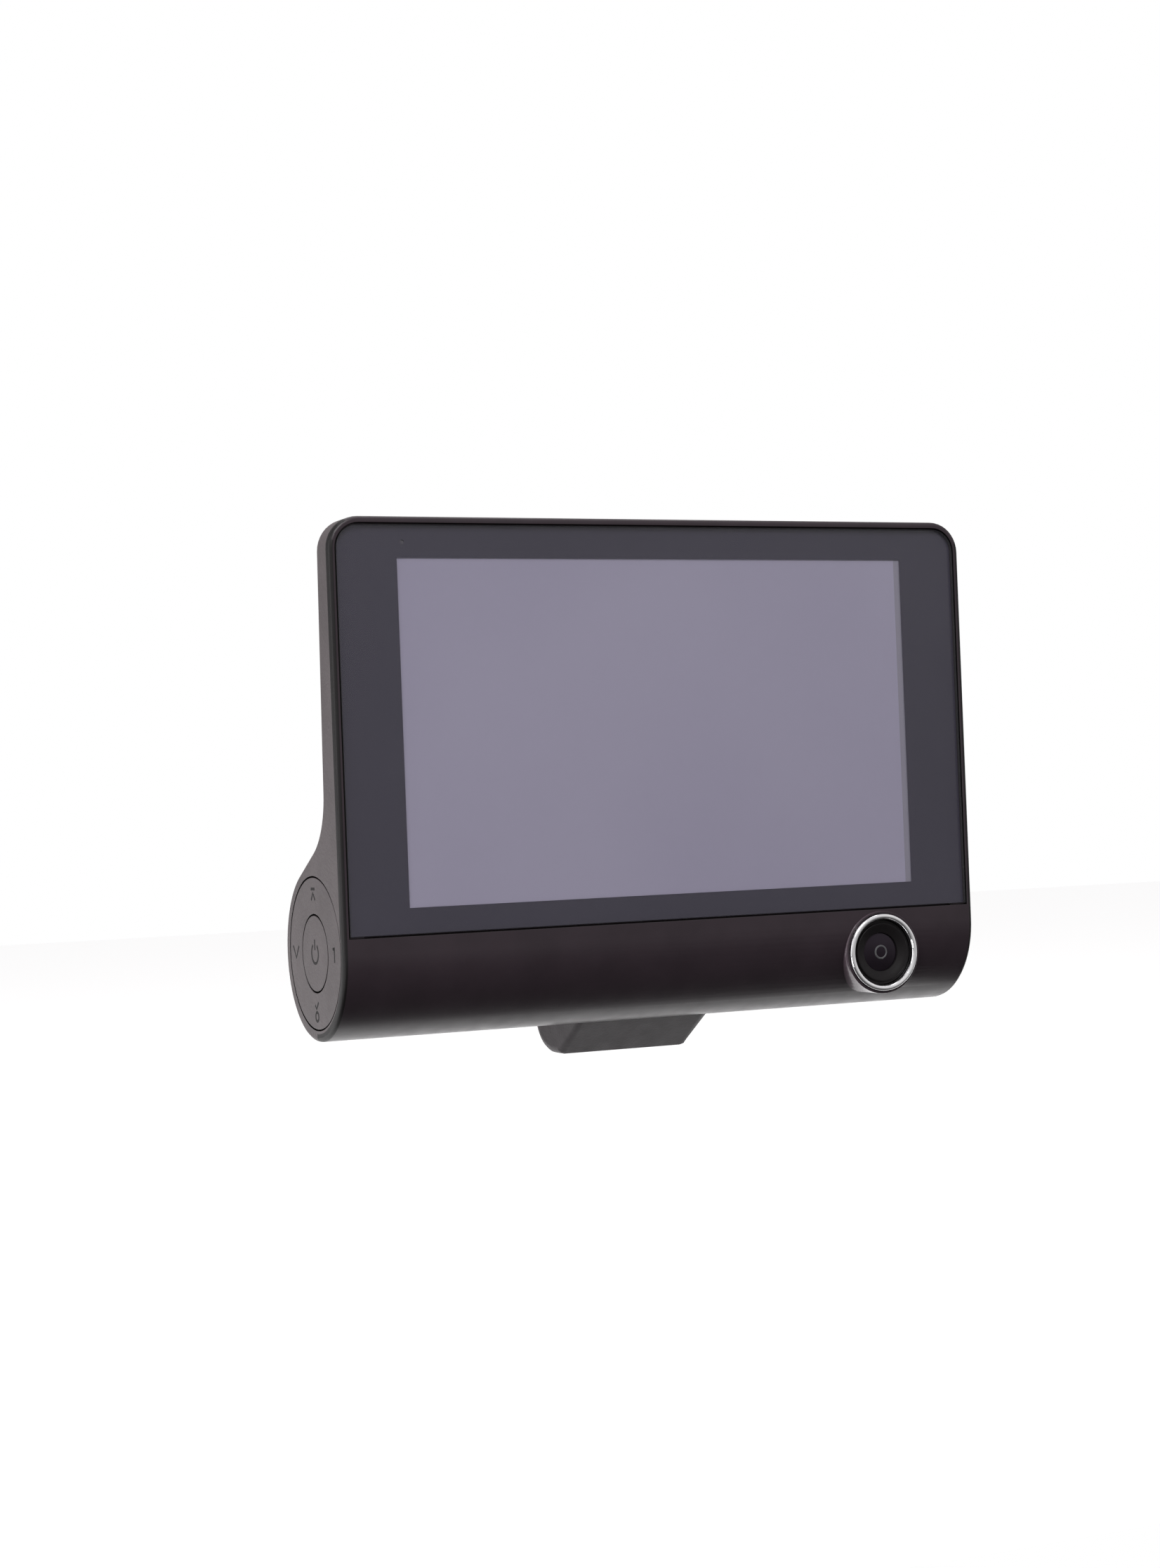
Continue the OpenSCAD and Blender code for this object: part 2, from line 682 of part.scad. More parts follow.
module board_screws() color(screw_steel) placed() for (p = board_posts)
    translate([p[0], board_y, p[1]]) rotate([90, 0, 0]) screw(5);

module case_screws() color(screw_steel) placed() for (s = [-1, 1], p = case_posts)
    translate([s * p[0], case_head_y(p[1]), p[1]]) rotate([-90, 0, 0]) screw(3.3);

module housing_screws() color(screw_steel) placed() for (s = [-1, 1])
    translate([s * housing_posts_x, 23.4, housing_posts_z]) rotate([90, 0, 0]) screw(4.6);

module shoe_screws() color(screw_steel) placed() for (s = [-1, 1])
    translate([s * shoe_screw_x, back_y(slot_z) - wall - 0.03, slot_z]) rotate([90, 0, 0]) screw(4.5);

front_bezel();
rear_cover();
road_lens_housing();
bracket_shoe();
screen_glass();
screen_mask();
glass_tape();
lcd_panel();
light_guide();
backlight_tray();
lcd_ribbon();
indicator_led();
ring_key();
power_key();
key_gimbal();
key_frame();
key_membrane();
tact_switches();
key_board();
key_ribbon();
cabin_chrome_ring();
cabin_lens_barrel();
cabin_front_lens();
cabin_rear_lens();
cabin_lens_holder();
cabin_image_sensor();
cabin_sensor_board();
cabin_ribbon();
road_trim_ring();
road_lens_barrel();
road_front_lens();
road_retaining_ring();
road_rear_lens();
road_lens_holder();
road_image_sensor();
road_sensor_board();
main_board();
processor();
heat_pad();
shield_can();
memory_chip();
clock_cell();
battery();
battery_pad();
speaker();
speaker_mesh();
microphone();
usb_socket();
camera_jack();
card_socket();
memory_card();
reset_switch();
reset_button();
board_screws();
case_screws();
housing_screws();
shoe_screws();
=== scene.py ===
"""Looks of the dash camera, built round its CAD frame.

Metres, in the row frame: +X to the right of a person who faces the screen, +Y towards the
road, +Z up. A helper that takes millimetres says so.
"""

from math import asin, cos, pi, radians, sin

import bmesh
import bpy
from mathutils import Matrix, Vector


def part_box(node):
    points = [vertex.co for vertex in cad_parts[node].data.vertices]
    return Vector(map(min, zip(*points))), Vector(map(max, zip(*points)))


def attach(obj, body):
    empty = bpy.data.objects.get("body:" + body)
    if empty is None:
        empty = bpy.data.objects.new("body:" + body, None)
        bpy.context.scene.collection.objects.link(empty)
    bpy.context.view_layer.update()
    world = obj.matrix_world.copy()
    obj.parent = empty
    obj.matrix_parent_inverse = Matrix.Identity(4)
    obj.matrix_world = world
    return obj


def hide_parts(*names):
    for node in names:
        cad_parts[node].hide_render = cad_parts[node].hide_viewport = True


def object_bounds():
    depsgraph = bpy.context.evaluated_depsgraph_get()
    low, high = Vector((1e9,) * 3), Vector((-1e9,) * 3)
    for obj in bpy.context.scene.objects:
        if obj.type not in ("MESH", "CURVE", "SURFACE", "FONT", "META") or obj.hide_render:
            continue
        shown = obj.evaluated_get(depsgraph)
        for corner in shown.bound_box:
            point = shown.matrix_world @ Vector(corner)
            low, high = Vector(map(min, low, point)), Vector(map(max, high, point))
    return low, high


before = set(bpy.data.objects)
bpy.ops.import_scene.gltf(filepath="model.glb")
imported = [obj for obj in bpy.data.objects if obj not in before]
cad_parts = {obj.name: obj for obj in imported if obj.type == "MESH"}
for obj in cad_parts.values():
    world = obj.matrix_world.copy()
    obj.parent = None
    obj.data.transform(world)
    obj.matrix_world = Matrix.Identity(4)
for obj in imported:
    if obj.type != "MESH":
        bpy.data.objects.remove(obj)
cad_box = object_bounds()
MM = 0.001

# ---- places that the pieces share, all from the frame -------------------------------

bezel_lo, bezel_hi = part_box("front_bezel")
glass_lo, glass_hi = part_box("screen_glass")
lcd_lo, lcd_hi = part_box("lcd_panel")
usb_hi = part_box("usb_socket")[1]
FRONT = glass_lo.y                      # plane of the cover glass
HALF_W = bezel_hi.x                     # half of the body's width
TOP = bezel_hi.z
BASE = bezel_lo.z                       # lowest line of the tube
SEAM = FRONT + 1.4 * MM                 # where the rear cover begins on the slab's sides
TUBE_R = 13.2 * MM
TUBE_Y, TUBE_Z = FRONT + TUBE_R, BASE + TUBE_R
CORNER_R = 4.8 * MM                     # of the slab's upper corners
ROUND = 0.6                             # rounding of the body's outer edges, in mm


def middle(node):
    """Middle of a CAD node's box."""
    lo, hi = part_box(node)
    return (lo + hi) / 2


key_axis = middle("power_key")
cabin = middle("cabin_chrome_ring")
road = middle("road_trim_ring")

# ---- materials ----------------------------------------------------------------------

NOISE_LOW, NOISE_HIGH = 0.3, 0.7        # most values of a noise texture lie between these
BANDS_PER_UNIT = 3.2                    # of a wave texture at scale 1


class Finish:
    """A Principled material with object-space textures. Texture sizes are in millimetres."""

    def __init__(self, name, color, rough, **sockets):
        self.mat = bpy.data.materials.new(name)
        self.mat.use_nodes = True
        self.tree = self.mat.node_tree
        self.shader = self.tree.nodes["Principled BSDF"]
        self.shader.inputs["Base Color"].default_value = (*color, 1)
        self.shader.inputs["Roughness"].default_value = rough
        for socket, value in sockets.items():
            self.shader.inputs[socket.replace("_", " ")].default_value = value
        self.color, self.rough = color, rough
        self.coords = self.tree.nodes.new("ShaderNodeTexCoord").outputs["Object"]
        self.normal = None

    def node(self, kind, **settings):
        new = self.tree.nodes.new("ShaderNode" + kind)
        for key, value in settings.items():
            setattr(new, key, value)
        return new

    def link(self, source, target):
        self.tree.links.new(source, target)

    def stretched(self, stretch):
        """Object coordinates scaled by a vector, for a texture with a direction."""
        mapping = self.node("Mapping")
        mapping.inputs["Scale"].default_value = stretch
        self.link(self.coords, mapping.inputs["Vector"])
        return mapping.outputs["Vector"]

    def noise(self, size, detail=3, stretch=None):
        tex = self.node("TexNoise")
        tex.inputs["Scale"].default_value = 1 / (size * MM)
        tex.inputs["Detail"].default_value = detail
        self.link(self.stretched(stretch) if stretch else self.coords, tex.inputs["Vector"])
        return tex.outputs["Fac"]

    def cells(self, size, feature="F1"):
        tex = self.node("TexVoronoi", feature=feature)
        tex.inputs["Scale"].default_value = 1 / (size * MM)
        self.link(self.coords, tex.inputs["Vector"])
        return tex.outputs["Distance"]

    def waves(self, size):
        """Bands that follow one another along X."""
        tex = self.node("TexWave", bands_direction="X")
        tex.inputs["Scale"].default_value = 1 / (size * MM) / BANDS_PER_UNIT
        self.link(self.coords, tex.inputs["Vector"])
        return tex.outputs["Fac"]

    def tint(self, value, other, start=NOISE_LOW, end=NOISE_HIGH):
        """The base colour turns to another one as value goes from start to end."""
        ramp = self.node("ValToRGB")
        ramp.color_ramp.elements[0].position = start
        ramp.color_ramp.elements[0].color = (*self.color, 1)
        ramp.color_ramp.elements[1].position = end
        ramp.color_ramp.elements[1].color = (*other, 1)
        self.link(value, ramp.inputs["Fac"])
        self.link(ramp.outputs["Color"], self.shader.inputs["Base Color"])
        return self

    def uneven(self, value, spread):
        """Roughness that wanders by spread to each side."""
        span = self.node("MapRange")
        span.inputs["From Min"].default_value = NOISE_LOW
        span.inputs["From Max"].default_value = NOISE_HIGH
        span.inputs["To Min"].default_value = max(self.rough - spread, 0.01)
        span.inputs["To Max"].default_value = self.rough + spread
        self.link(value, span.inputs["Value"])
        self.link(span.outputs["Result"], self.shader.inputs["Roughness"])
        return self

    def bump(self, value, depth):
        """Relief of that depth in millimetres, on top of the one before it."""
        bump = self.node("Bump")
        bump.inputs["Distance"].default_value = depth * MM
        self.link(value, bump.inputs["Height"])
        if self.normal:
            self.link(self.normal, bump.inputs["Normal"])
        self.normal = bump.outputs["Normal"]
        self.link(self.normal, self.shader.inputs["Normal"])
        return self


def shade(color, factor):
    """A darker or lighter colour of the same hue."""
    return tuple(c * factor for c in color)


def moulded(name, color, rough, grain, depth, **sockets):
    """Moulded plastic: fine spark-eroded grain, slow drift of tone, slightly uneven gloss.

    The grain's size and depth are in millimetres.
    """
    f = Finish(name, color, rough, **sockets)
    f.tint(f.noise(7, 5), shade(color, 1.18), 0.35, 0.65)
    f.uneven(f.noise(2.5, 4), 0.035)
    f.bump(f.noise(14, 2), 0.012)
    f.bump(f.noise(grain, 2), depth)
    return f.mat


def steel(name, color, rough, brush=(1, 12, 1)):
    """Pressed steel with a faint rolled grain."""
    f = Finish(name, color, rough, Metallic=1.0)
    f.tint(f.noise(3, 4), shade(color, 0.85))
    f.uneven(f.noise(1.2, 3, brush), 0.06)
    f.bump(f.noise(0.5, 2, brush), 0.004)
    return f.mat


def circuit_board(name):
    """Green solder mask with copper tracks that show through it."""
    f = Finish(name, (0.012, 0.11, 0.045), 0.32)
    f.tint(f.cells(1.6, "DISTANCE_TO_EDGE"), (0.02, 0.19, 0.07), 0.04, 0.07)
    f.uneven(f.noise(2), 0.05)
    f.bump(f.cells(1.6, "DISTANCE_TO_EDGE"), 0.02)
    return f.mat


def flexible_circuit(name):
    """Amber film with fine lengthwise conductors."""
    f = Finish(name, (0.46, 0.2, 0.04), 0.28)
    f.tint(f.waves(0.6), (0.58, 0.3, 0.09))
    f.bump(f.waves(0.6), 0.01)
    return f.mat


def sheet_foam(name, color):
    """Soft foam, rubber or silicone with an open, dull skin."""
    f = Finish(name, color, 0.8)
    f.tint(f.cells(0.5), shade(color, 0.8))
    f.uneven(f.noise(1), 0.06)
    f.bump(f.cells(0.4), 0.03)
    return f.mat


def lens_glass(name, color, coat_tint):
    """Dark coated lens: black depth under a smooth, faintly coloured coating."""
    f = Finish(name, color, 0.05, Specular_IOR_Level=0.22, Coat_Weight=0.05,
               Coat_Roughness=0.02, Specular_Tint=(*coat_tint, 1))
    f.tint(f.noise(5, 2), shade(coat_tint, 0.012))
    f.uneven(f.noise(1.5), 0.015)
    return f.mat


BEZEL = (0.0245, 0.0172, 0.0218)
SHELL = (0.077, 0.065, 0.068)
POD = (0.0245, 0.0185, 0.022)
DULL = {"Specular_IOR_Level": 0.28}     # for dark plastics that hardly shine

bezel_black = moulded("bezel_black", BEZEL, 0.34, 0.2, 0.007, **DULL)
shell_grey = moulded("shell_grey", SHELL, 0.5, 0.42, 0.055)
# Near-black painted shade for the gaps round the glass and keys and for the bezel's ends,
# where shade falls
painted_shade_black = moulded("painted_shade_black", (0.005, 0.004, 0.0045), 0.45, 0.16, 0.004, **DULL)
# The boss wall is the bezel's plastic painted 3.4 times lighter: painted light where the
# lamps fall on it
glossy_boss_painted_light = moulded("glossy_boss_painted_light", shade(BEZEL, 3.4), 0.2, 0.2, 0.004,
                     Specular_IOR_Level=1.0)
pod_charcoal = moulded("pod_charcoal", POD, 0.5, 0.4, 0.03, **DULL)
key_grey = moulded("key_grey", SHELL, 0.5, 0.42, 0.05)
part_black = moulded("part_black", (0.016, 0.016, 0.018), 0.5, 0.2, 0.008)
part_grey = moulded("part_grey", (0.06, 0.06, 0.064), 0.5, 0.2, 0.008)
barrel_black = moulded("barrel_black", (0.0075, 0.0065, 0.007), 0.42, 0.08, 0.006,
                       Specular_IOR_Level=0.15)
plunger_white = moulded("plunger_white", (0.7, 0.68, 0.64), 0.4, 0.2, 0.004)
mark_dark = moulded("mark_dark", (0.007, 0.006, 0.0065), 0.6, 0.06, 0.004, **DULL)
chip_black = moulded("chip_black", (0.02, 0.02, 0.022), 0.55, 0.1, 0.006)
sensor_blue = moulded("sensor_blue", (0.03, 0.04, 0.08), 0.12, 0.05, 0.001)
milky_acrylic = moulded("milky_acrylic", (0.8, 0.8, 0.82), 0.3, 0.4, 0.003)
board_green = circuit_board("board_green")
flex_amber = flexible_circuit("flex_amber")
foam_black = sheet_foam("foam_black", (0.012, 0.012, 0.013))
silicone_pale = sheet_foam("silicone_pale", (0.5, 0.52, 0.54))
can_steel = steel("can_steel", (0.6, 0.6, 0.62), 0.3)
socket_nickel = steel("socket_nickel", (0.62, 0.61, 0.6), 0.26, (12, 1, 1))
screw_black = steel("screw_black", (0.09, 0.09, 0.1), 0.42)
screw_steel = steel("screw_steel", (0.3, 0.31, 0.32), 0.36)
foil_silver = steel("foil_silver", (0.6, 0.62, 0.64), 0.38)
contact_gold = steel("contact_gold", (0.86, 0.6, 0.24), 0.24)
front_lens_glass = lens_glass("front_lens_glass", (0.006, 0.004, 0.006), (0.85, 0.68, 0.9))
rear_lens_glass = lens_glass("rear_lens_glass", (0.02, 0.012, 0.035), (0.6, 0.5, 1.0))


def chrome_plate():
    """Bright plate over plastic: nearly a mirror, with a breath of orange peel."""
    f = Finish("chrome_plate", (0.98, 0.98, 0.985), 0.08, Metallic=1.0)
    f.tint(f.noise(2, 2), (0.9, 0.9, 0.92))
    f.uneven(f.noise(0.8), 0.025)
    f.bump(f.noise(0.9, 1), 0.002)
    return f.mat


def border_print():
    """Blue-black ink behind the cover glass, under the glass's gloss."""
    f = Finish("border_print", (0.03, 0.026, 0.045), 0.4, Coat_Weight=0.5,
               Coat_Roughness=0.06)
    f.tint(f.noise(18, 3), (0.033, 0.029, 0.049))
    f.uneven(f.noise(0.4), 0.05)
    return f.mat


def picture_surface():
    """Switched-off screen: a lavender grey film with a very fine vertical pixel grain."""
    f = Finish("picture_surface", (0.36, 0.335, 0.455), 0.42, Coat_Weight=0.6,
               Coat_Roughness=0.06)
    f.tint(f.noise(60, 2), (0.38, 0.355, 0.475), 0.4, 0.6)
    f.uneven(f.waves(0.11), 0.05)
    f.bump(f.waves(0.11), 0.0015)
    return f.mat


def picture_margin():
    """Unlit strip of the screen beside the picture."""
    f = Finish("margin_film", (0.27, 0.255, 0.32), 0.42, Coat_Weight=0.6,
               Coat_Roughness=0.06)
    f.tint(f.noise(40, 2), (0.285, 0.27, 0.335), 0.4, 0.6)
    f.uneven(f.noise(0.4), 0.05)
    return f.mat


def cover_glass():
    """Clear glass with a faint grey cast and the odd smear."""
    f = Finish("cover_glass", (0.06, 0.057, 0.07), 0.05, Alpha=0.12, IOR=1.5)
    f.tint(f.noise(30, 3), (0.07, 0.067, 0.08))
    f.uneven(f.noise(12, 4), 0.02)
    return f.mat


def woven_mesh():
    """Black mesh over the speaker."""
    f = Finish("woven_mesh", (0.05, 0.05, 0.055), 0.45, Metallic=0.6)
    f.tint(f.cells(0.22), (0.01, 0.01, 0.011), 0.15, 0.4)
    f.uneven(f.noise(0.6), 0.05)
    f.bump(f.cells(0.22), 0.08)
    return f.mat


def smoky_lens():
    """Smoky lens of the indicator, which is off."""
    f = Finish("smoky_lens", (0.09, 0.085, 0.1), 0.25)
    f.tint(f.noise(0.3), (0.12, 0.11, 0.13))
    f.uneven(f.noise(0.3), 0.05)
    return f.mat


chrome = chrome_plate()
border = border_print()
picture = picture_surface()
margin_film = picture_margin()
glass = cover_glass()
mesh_black = woven_mesh()
led_lens = smoky_lens()

# CAD nodes that stay as they are, by finish
KEPT = {
    border: ["screen_mask"],
    picture: ["lcd_panel"],
    milky_acrylic: ["light_guide"],
    led_lens: ["indicator_led"],
    foam_black: ["glass_tape", "battery_pad"],
    silicone_pale: ["heat_pad", "key_membrane"],
    can_steel: ["backlight_tray", "shield_can", "clock_cell", "microphone", "tact_switches",
                "reset_switch", "card_socket"],
    foil_silver: ["battery"],
    board_green: ["main_board", "key_board", "cabin_sensor_board", "road_sensor_board"],
    flex_amber: ["lcd_ribbon", "key_ribbon", "cabin_ribbon"],
    chip_black: ["processor", "memory_chip"],
    sensor_blue: ["cabin_image_sensor", "road_image_sensor"],
    rear_lens_glass: ["cabin_rear_lens", "road_rear_lens"],
    part_black: ["cabin_lens_holder", "road_lens_holder", "camera_jack", "speaker"],
    part_grey: ["key_gimbal", "key_frame"],
    plunger_white: ["reset_button"],
    mesh_black: ["speaker_mesh"],
    screw_steel: ["board_screws", "housing_screws", "shoe_screws"],
}
for finish, names in KEPT.items():
    for name in names:
        for index in range(len(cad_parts[name].material_slots)):
            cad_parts[name].material_slots[index].material = finish


# ---- mesh helpers -------------------------------------------------------------------

ROUND_STEPS = 3                         # faces across a rounded edge
TURN_STEPS = 144                        # faces round a revolved piece
WELD = 2e-6                             # points that are closer, in metres, become one
FLAT = 0.4                              # faces that turn by less, in degrees, become one
SHARP = 40                              # edges that turn by more degrees can be rounded


def new_piece(name, mesh, material, body, replaced=()):
    """A finished piece that rides on a body and stands for CAD nodes."""
    obj = bpy.data.objects.new(name, mesh)
    bpy.context.collection.objects.link(obj)
    mesh.materials.clear()
    mesh.materials.append(material)
    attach(obj, body)
    if replaced:
        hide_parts(*replaced)
    return obj


def smooth(mesh, angle=32):
    """Smooth shading that keeps edges sharper than angle."""
    mesh.polygons.foreach_set("use_smooth", [True] * len(mesh.polygons))
    mesh.set_sharp_from_angle(angle=radians(angle))
    mesh.update()


def baked(obj, kind, **settings):
    """Puts one modifier on the object and applies it to its mesh."""
    modifier = obj.modifiers.new(kind, kind)
    for key, value in settings.items():
        setattr(modifier, key, value)
    depsgraph = bpy.context.evaluated_depsgraph_get()
    done = bpy.data.meshes.new_from_object(obj.evaluated_get(depsgraph))
    done.name = obj.name
    obj.modifiers.clear()
    obj.data = done


def softened(node, name, material, body, width_of):
    """A copy of a CAD node whose edges are rounded.

    width_of(middle, normal, other_normal) gives an edge's rounding in millimetres, or 0 for
    none. It is asked only about convex edges that turn by more than SHARP.
    """
    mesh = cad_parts[node].data.copy()
    mesh.name = name
    bm = bmesh.new()
    bm.from_mesh(mesh)
    bmesh.ops.remove_doubles(bm, verts=bm.verts, dist=WELD)
    bmesh.ops.dissolve_limit(bm, angle_limit=radians(FLAT), verts=bm.verts, edges=bm.edges)
    share = bm.edges.layers.float.new("bevel_weight_edge")
    for edge in bm.edges:
        if len(edge.link_faces) != 2 or not edge.is_convex:
            continue
        normals = [face.normal for face in edge.link_faces]
        if normals[0].angle(normals[1], 0) > radians(SHARP):
            edge[share] = width_of((edge.verts[0].co + edge.verts[1].co) / 2, *normals)
    widest = max(edge[share] for edge in bm.edges)
    for edge in bm.edges:
        edge[share] /= widest or 1
    bm.to_mesh(mesh)
    bm.free()
    obj = new_piece(name, mesh, material, body, (node,))
    if widest:
        baked(obj, "BEVEL", limit_method="WEIGHT", width=widest * MM, segments=ROUND_STEPS,
              use_clamp_overlap=False, miter_outer="MITER_ARC")
    smooth(obj.data)
    baked(obj, "WEIGHTED_NORMAL", keep_sharp=True, weight=100)
    return obj


def revolve(name, outline, origin, axis, material, replaced=()):
    """A closed outline of (radius, height) points in mm, turned about an axis."""
    out = Vector(axis)
    side = out.orthogonal().normalized()
    up = out.cross(side)
    origin = Vector(origin)
    bm = bmesh.new()
    rings = []
    for r, h in outline:
        foot = origin + out * h * MM
        if r < 1e-6:
            rings.append([bm.verts.new(foot)] * TURN_STEPS)
            continue
        rings.append([bm.verts.new(foot + (side * cos(a) + up * sin(a)) * r * MM)
                      for a in (2 * pi * i / TURN_STEPS for i in range(TURN_STEPS))])
    for ring, after in zip(rings, rings[1:] + rings[:1]):
        for i in range(TURN_STEPS):
            j = (i + 1) % TURN_STEPS
            corners = list(dict.fromkeys([ring[i], ring[j], after[j], after[i]]))
            if len(corners) > 2:
                bm.faces.new(corners)
    bmesh.ops.recalc_face_normals(bm, faces=bm.faces)
    mesh = bpy.data.meshes.new(name)
    bm.to_mesh(mesh)
    bm.free()
    smooth(mesh, angle=28)
    new_piece(name, mesh, material, "casing", replaced)


def arc(center, r, start, end, points=8):
    """Points of an arc in an outline, angles in degrees."""
    angles = (radians(start + (end - start) * i / points) for i in range(points + 1))
    return [(center[0] + r * cos(a), center[1] + r * sin(a)) for a in angles]


def dome(r, height, base, points=14):
    """Outline of a domed cap of radius r that rises from base to base + height."""
    ball = (r * r + height * height) / (2 * height)
    rim = asin(min(r / ball, 1))
    return [(ball * sin(rim * (1 - i / points)),
             base + height - ball + ball * cos(rim * (1 - i / points)))
            for i in range(points + 1)]


def blocks(name, boxes, edge, material):
    """Blocks from corner lo to corner hi, edges rounded, as one piece on the casing."""
    bm = bmesh.new()
    for lo, hi in boxes:
        made = bmesh.ops.create_cube(bm, size=1)["verts"]
        for vert in made:
            for axis in range(3):
                vert.co[axis] = hi[axis] if vert.co[axis] > 0 else lo[axis]
        edges = list({e for v in made for e in v.link_edges})
        bmesh.ops.bevel(bm, geom=edges, offset=edge, segments=2, profile=0.5,
                        affect="EDGES", clamp_overlap=True)
    mesh = bpy.data.meshes.new(name)
    bm.to_mesh(mesh)
    bm.free()
    return new_piece(name, mesh, material, "casing")


def close_to(a, b, gap=0.02):
    """Whether two lengths in metres differ by less than gap millimetres."""
    return abs(a - b) < gap * MM


# ---- shells -------------------------------------------------------------------------

def faces_along(axis, *normals):
    """Whether one of the normals points along an axis, either way."""
    return any(abs(n[axis]) > 0.99 for n in normals)


def from_tube(at):
    """Distance from the tube's middle line."""
    return Vector((0, at.y - TUBE_Y, at.z - TUBE_Z)).length


def on_corner(at):
    """Whether a point is on the round outline of one of the slab's two upper corners."""
    across = Vector((abs(at.x) - HALF_W + CORNER_R, at.z - TOP + CORNER_R))
    return min(across) > 0 and close_to(across.length, CORNER_R, 0.06)


def bezel_rounding(at, n1, n2):
    if close_to(at.y, bezel_lo.y):
        return 0.18                                     # rim of the cabin lens boss
    if close_to(at.y, FRONT) and faces_along(1, n1, n2):
        outer = close_to(abs(at.x), HALF_W) or close_to(at.z, TOP) or on_corner(at)
        return ROUND if outer else 0.1
    if close_to(abs(at.x), HALF_W) and at.z < TUBE_Z + 3 * MM:
        return ROUND if close_to(from_tube(at), TUBE_R, 0.06) else 0
    return 0


def cover_rounding(at, n1, n2):
    if at.y < SEAM + 0.1 * MM:
        return 0
    if close_to(abs(at.x), HALF_W) and faces_along(0, n1, n2):
        other = n2 if abs(n1.x) > 0.99 else n1
        outer = from_tube(at) > TUBE_R - 0.2 * MM and (other.y > 0.2 or abs(other.z) > 0.3)
        return ROUND if outer else 0
    if close_to(at.z, TOP) or on_corner(at):
        return ROUND
    if at.z > TUBE_Z + 2 * TUBE_R and abs(at.x) < HALF_W - 12 * MM:
        return 0.12                                     # vents
    return 0


def pod_rounding(at, n1, n2):
    side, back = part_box("road_lens_housing")[1].xy
    if close_to(abs(at.x), side):
        return 1.3 if from_tube(at) > TUBE_R + 0.3 * MM else 0
    return 0.15 if close_to(at.y, back) else 0


def all_edges(width):
    return lambda at, n1, n2: width


def key_rounding(at, n1, n2):
    return 0.1 if close_to(at.x, -HALF_W) else 0


front_shell = softened("front_bezel", "front_shell", bezel_black, "casing",
                       bezel_rounding)
rear_shell = softened("rear_cover", "rear_shell", shell_grey, "casing", cover_rounding)
softened("road_lens_housing", "road_housing", pod_charcoal, "casing", pod_rounding)
softened("bracket_shoe", "bracket_rail", pod_charcoal, "casing", all_edges(0.35))
ring_button = softened("ring_key", "ring_button", key_grey, "ring_key", key_rounding)
power_button = softened("power_key", "power_button", key_grey, "power_key", key_rounding)
cover = softened("screen_glass", "cover_glass", glass, "casing",
                 lambda at, n1, n2: 0.08 if close_to(at.y, FRONT) else 0)
softened("case_screws", "back_screws", screw_black, "casing",
         lambda at, n1, n2: 0.12 if faces_along(1, n1, n2) and n1.y + n2.y > 0 else 0)
softened("usb_socket", "usb_shell", socket_nickel, "casing", all_edges(0.12))
softened("memory_card", "card", chip_black, "memory_card", all_edges(0.12))

# The glass stops just short of the ink behind it, and its ground edge is inked too
INK_GAP = 0.03 * MM
for vert in cover.data.vertices:
    if close_to(vert.co.y, glass_hi.y):
        vert.co.y -= INK_GAP


def second_finish(obj, material, wanted):
    """Gives the faces that wanted(face) picks another finish."""
    obj.data.materials.append(material)
    slot = len(obj.data.materials) - 1
    for face in obj.data.polygons:
        if wanted(face):
            face.material_index = slot


KEY_HOLE_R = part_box("ring_key")[1].z - key_axis.z + 0.3 * MM
KEY_DEPTH = 3 * MM                      # how far in the gaps round the keys the painted shade reaches
BOSS_R = 6.9 * MM                       # a little over the lens boss's own radius
BOSS_DEPTH = 9 * MM
RIM = 0.5 * MM                          # how far round the glass the painted shade of its gap reaches


def in_key_gap(face):
    """Walls that stand across the key face: the sides of the gaps round the keys, which get
    painted shade.
    """
    off = Vector((0, face.center.y - key_axis.y, face.center.z - key_axis.z)).length
    deep = face.center.x + HALF_W
    return abs(face.normal.x) < 0.5 and off < KEY_HOLE_R and deep < KEY_DEPTH


def on_boss(face):
    """Side wall of the boss that the cabin lens sits in, which gets painted light."""
    off = Vector((face.center.x - cabin.x, 0, face.center.z - cabin.z)).length
    return abs(face.normal.y) < 0.5 and off < BOSS_R and face.center.y < FRONT + BOSS_DEPTH


def on_bezel_side(face):
    """The bezel's two ends and their rounded edges, which get painted shade."""
    return abs(face.normal.x) > 0.15 and abs(face.center.x) > HALF_W - ROUND * MM


def round_glass(face):
    """Edge and walls of the bezel's opening for the cover glass, which get painted shade."""
    at = face.center
    inside = abs(at.x) < glass_hi.x + RIM and glass_lo.z - RIM < at.z < glass_hi.z + RIM
    return inside and abs(face.normal.y) < 0.95


second_finish(cover, foam_black, lambda face: abs(face.normal.y) < 0.5)
# The bezel's ends and the walls round the glass get painted shade
second_finish(front_shell, painted_shade_black,
              lambda face: on_bezel_side(face) or round_glass(face))
# The boss wall gets painted light
second_finish(front_shell, glossy_boss_painted_light, on_boss)
# Painted shade on the walls of the gaps round the keys
for shell in (rear_shell, ring_button, power_button):
    second_finish(shell, painted_shade_black, in_key_gap)

# ---- marks on the keys --------------------------------------------------------------

MARK_R = 8.75                           # from the middle to the ring's marks, in mm
MARK_WIDE, MARK_THICK = 0.42, 0.012     # of a stroke, in mm


def on_key(u, v, w):
    """Point of the key face: u towards the front, v up, w outwards, in mm."""
    return Vector((-HALF_W - w * MM, key_axis.y - u * MM, key_axis.z + v * MM))


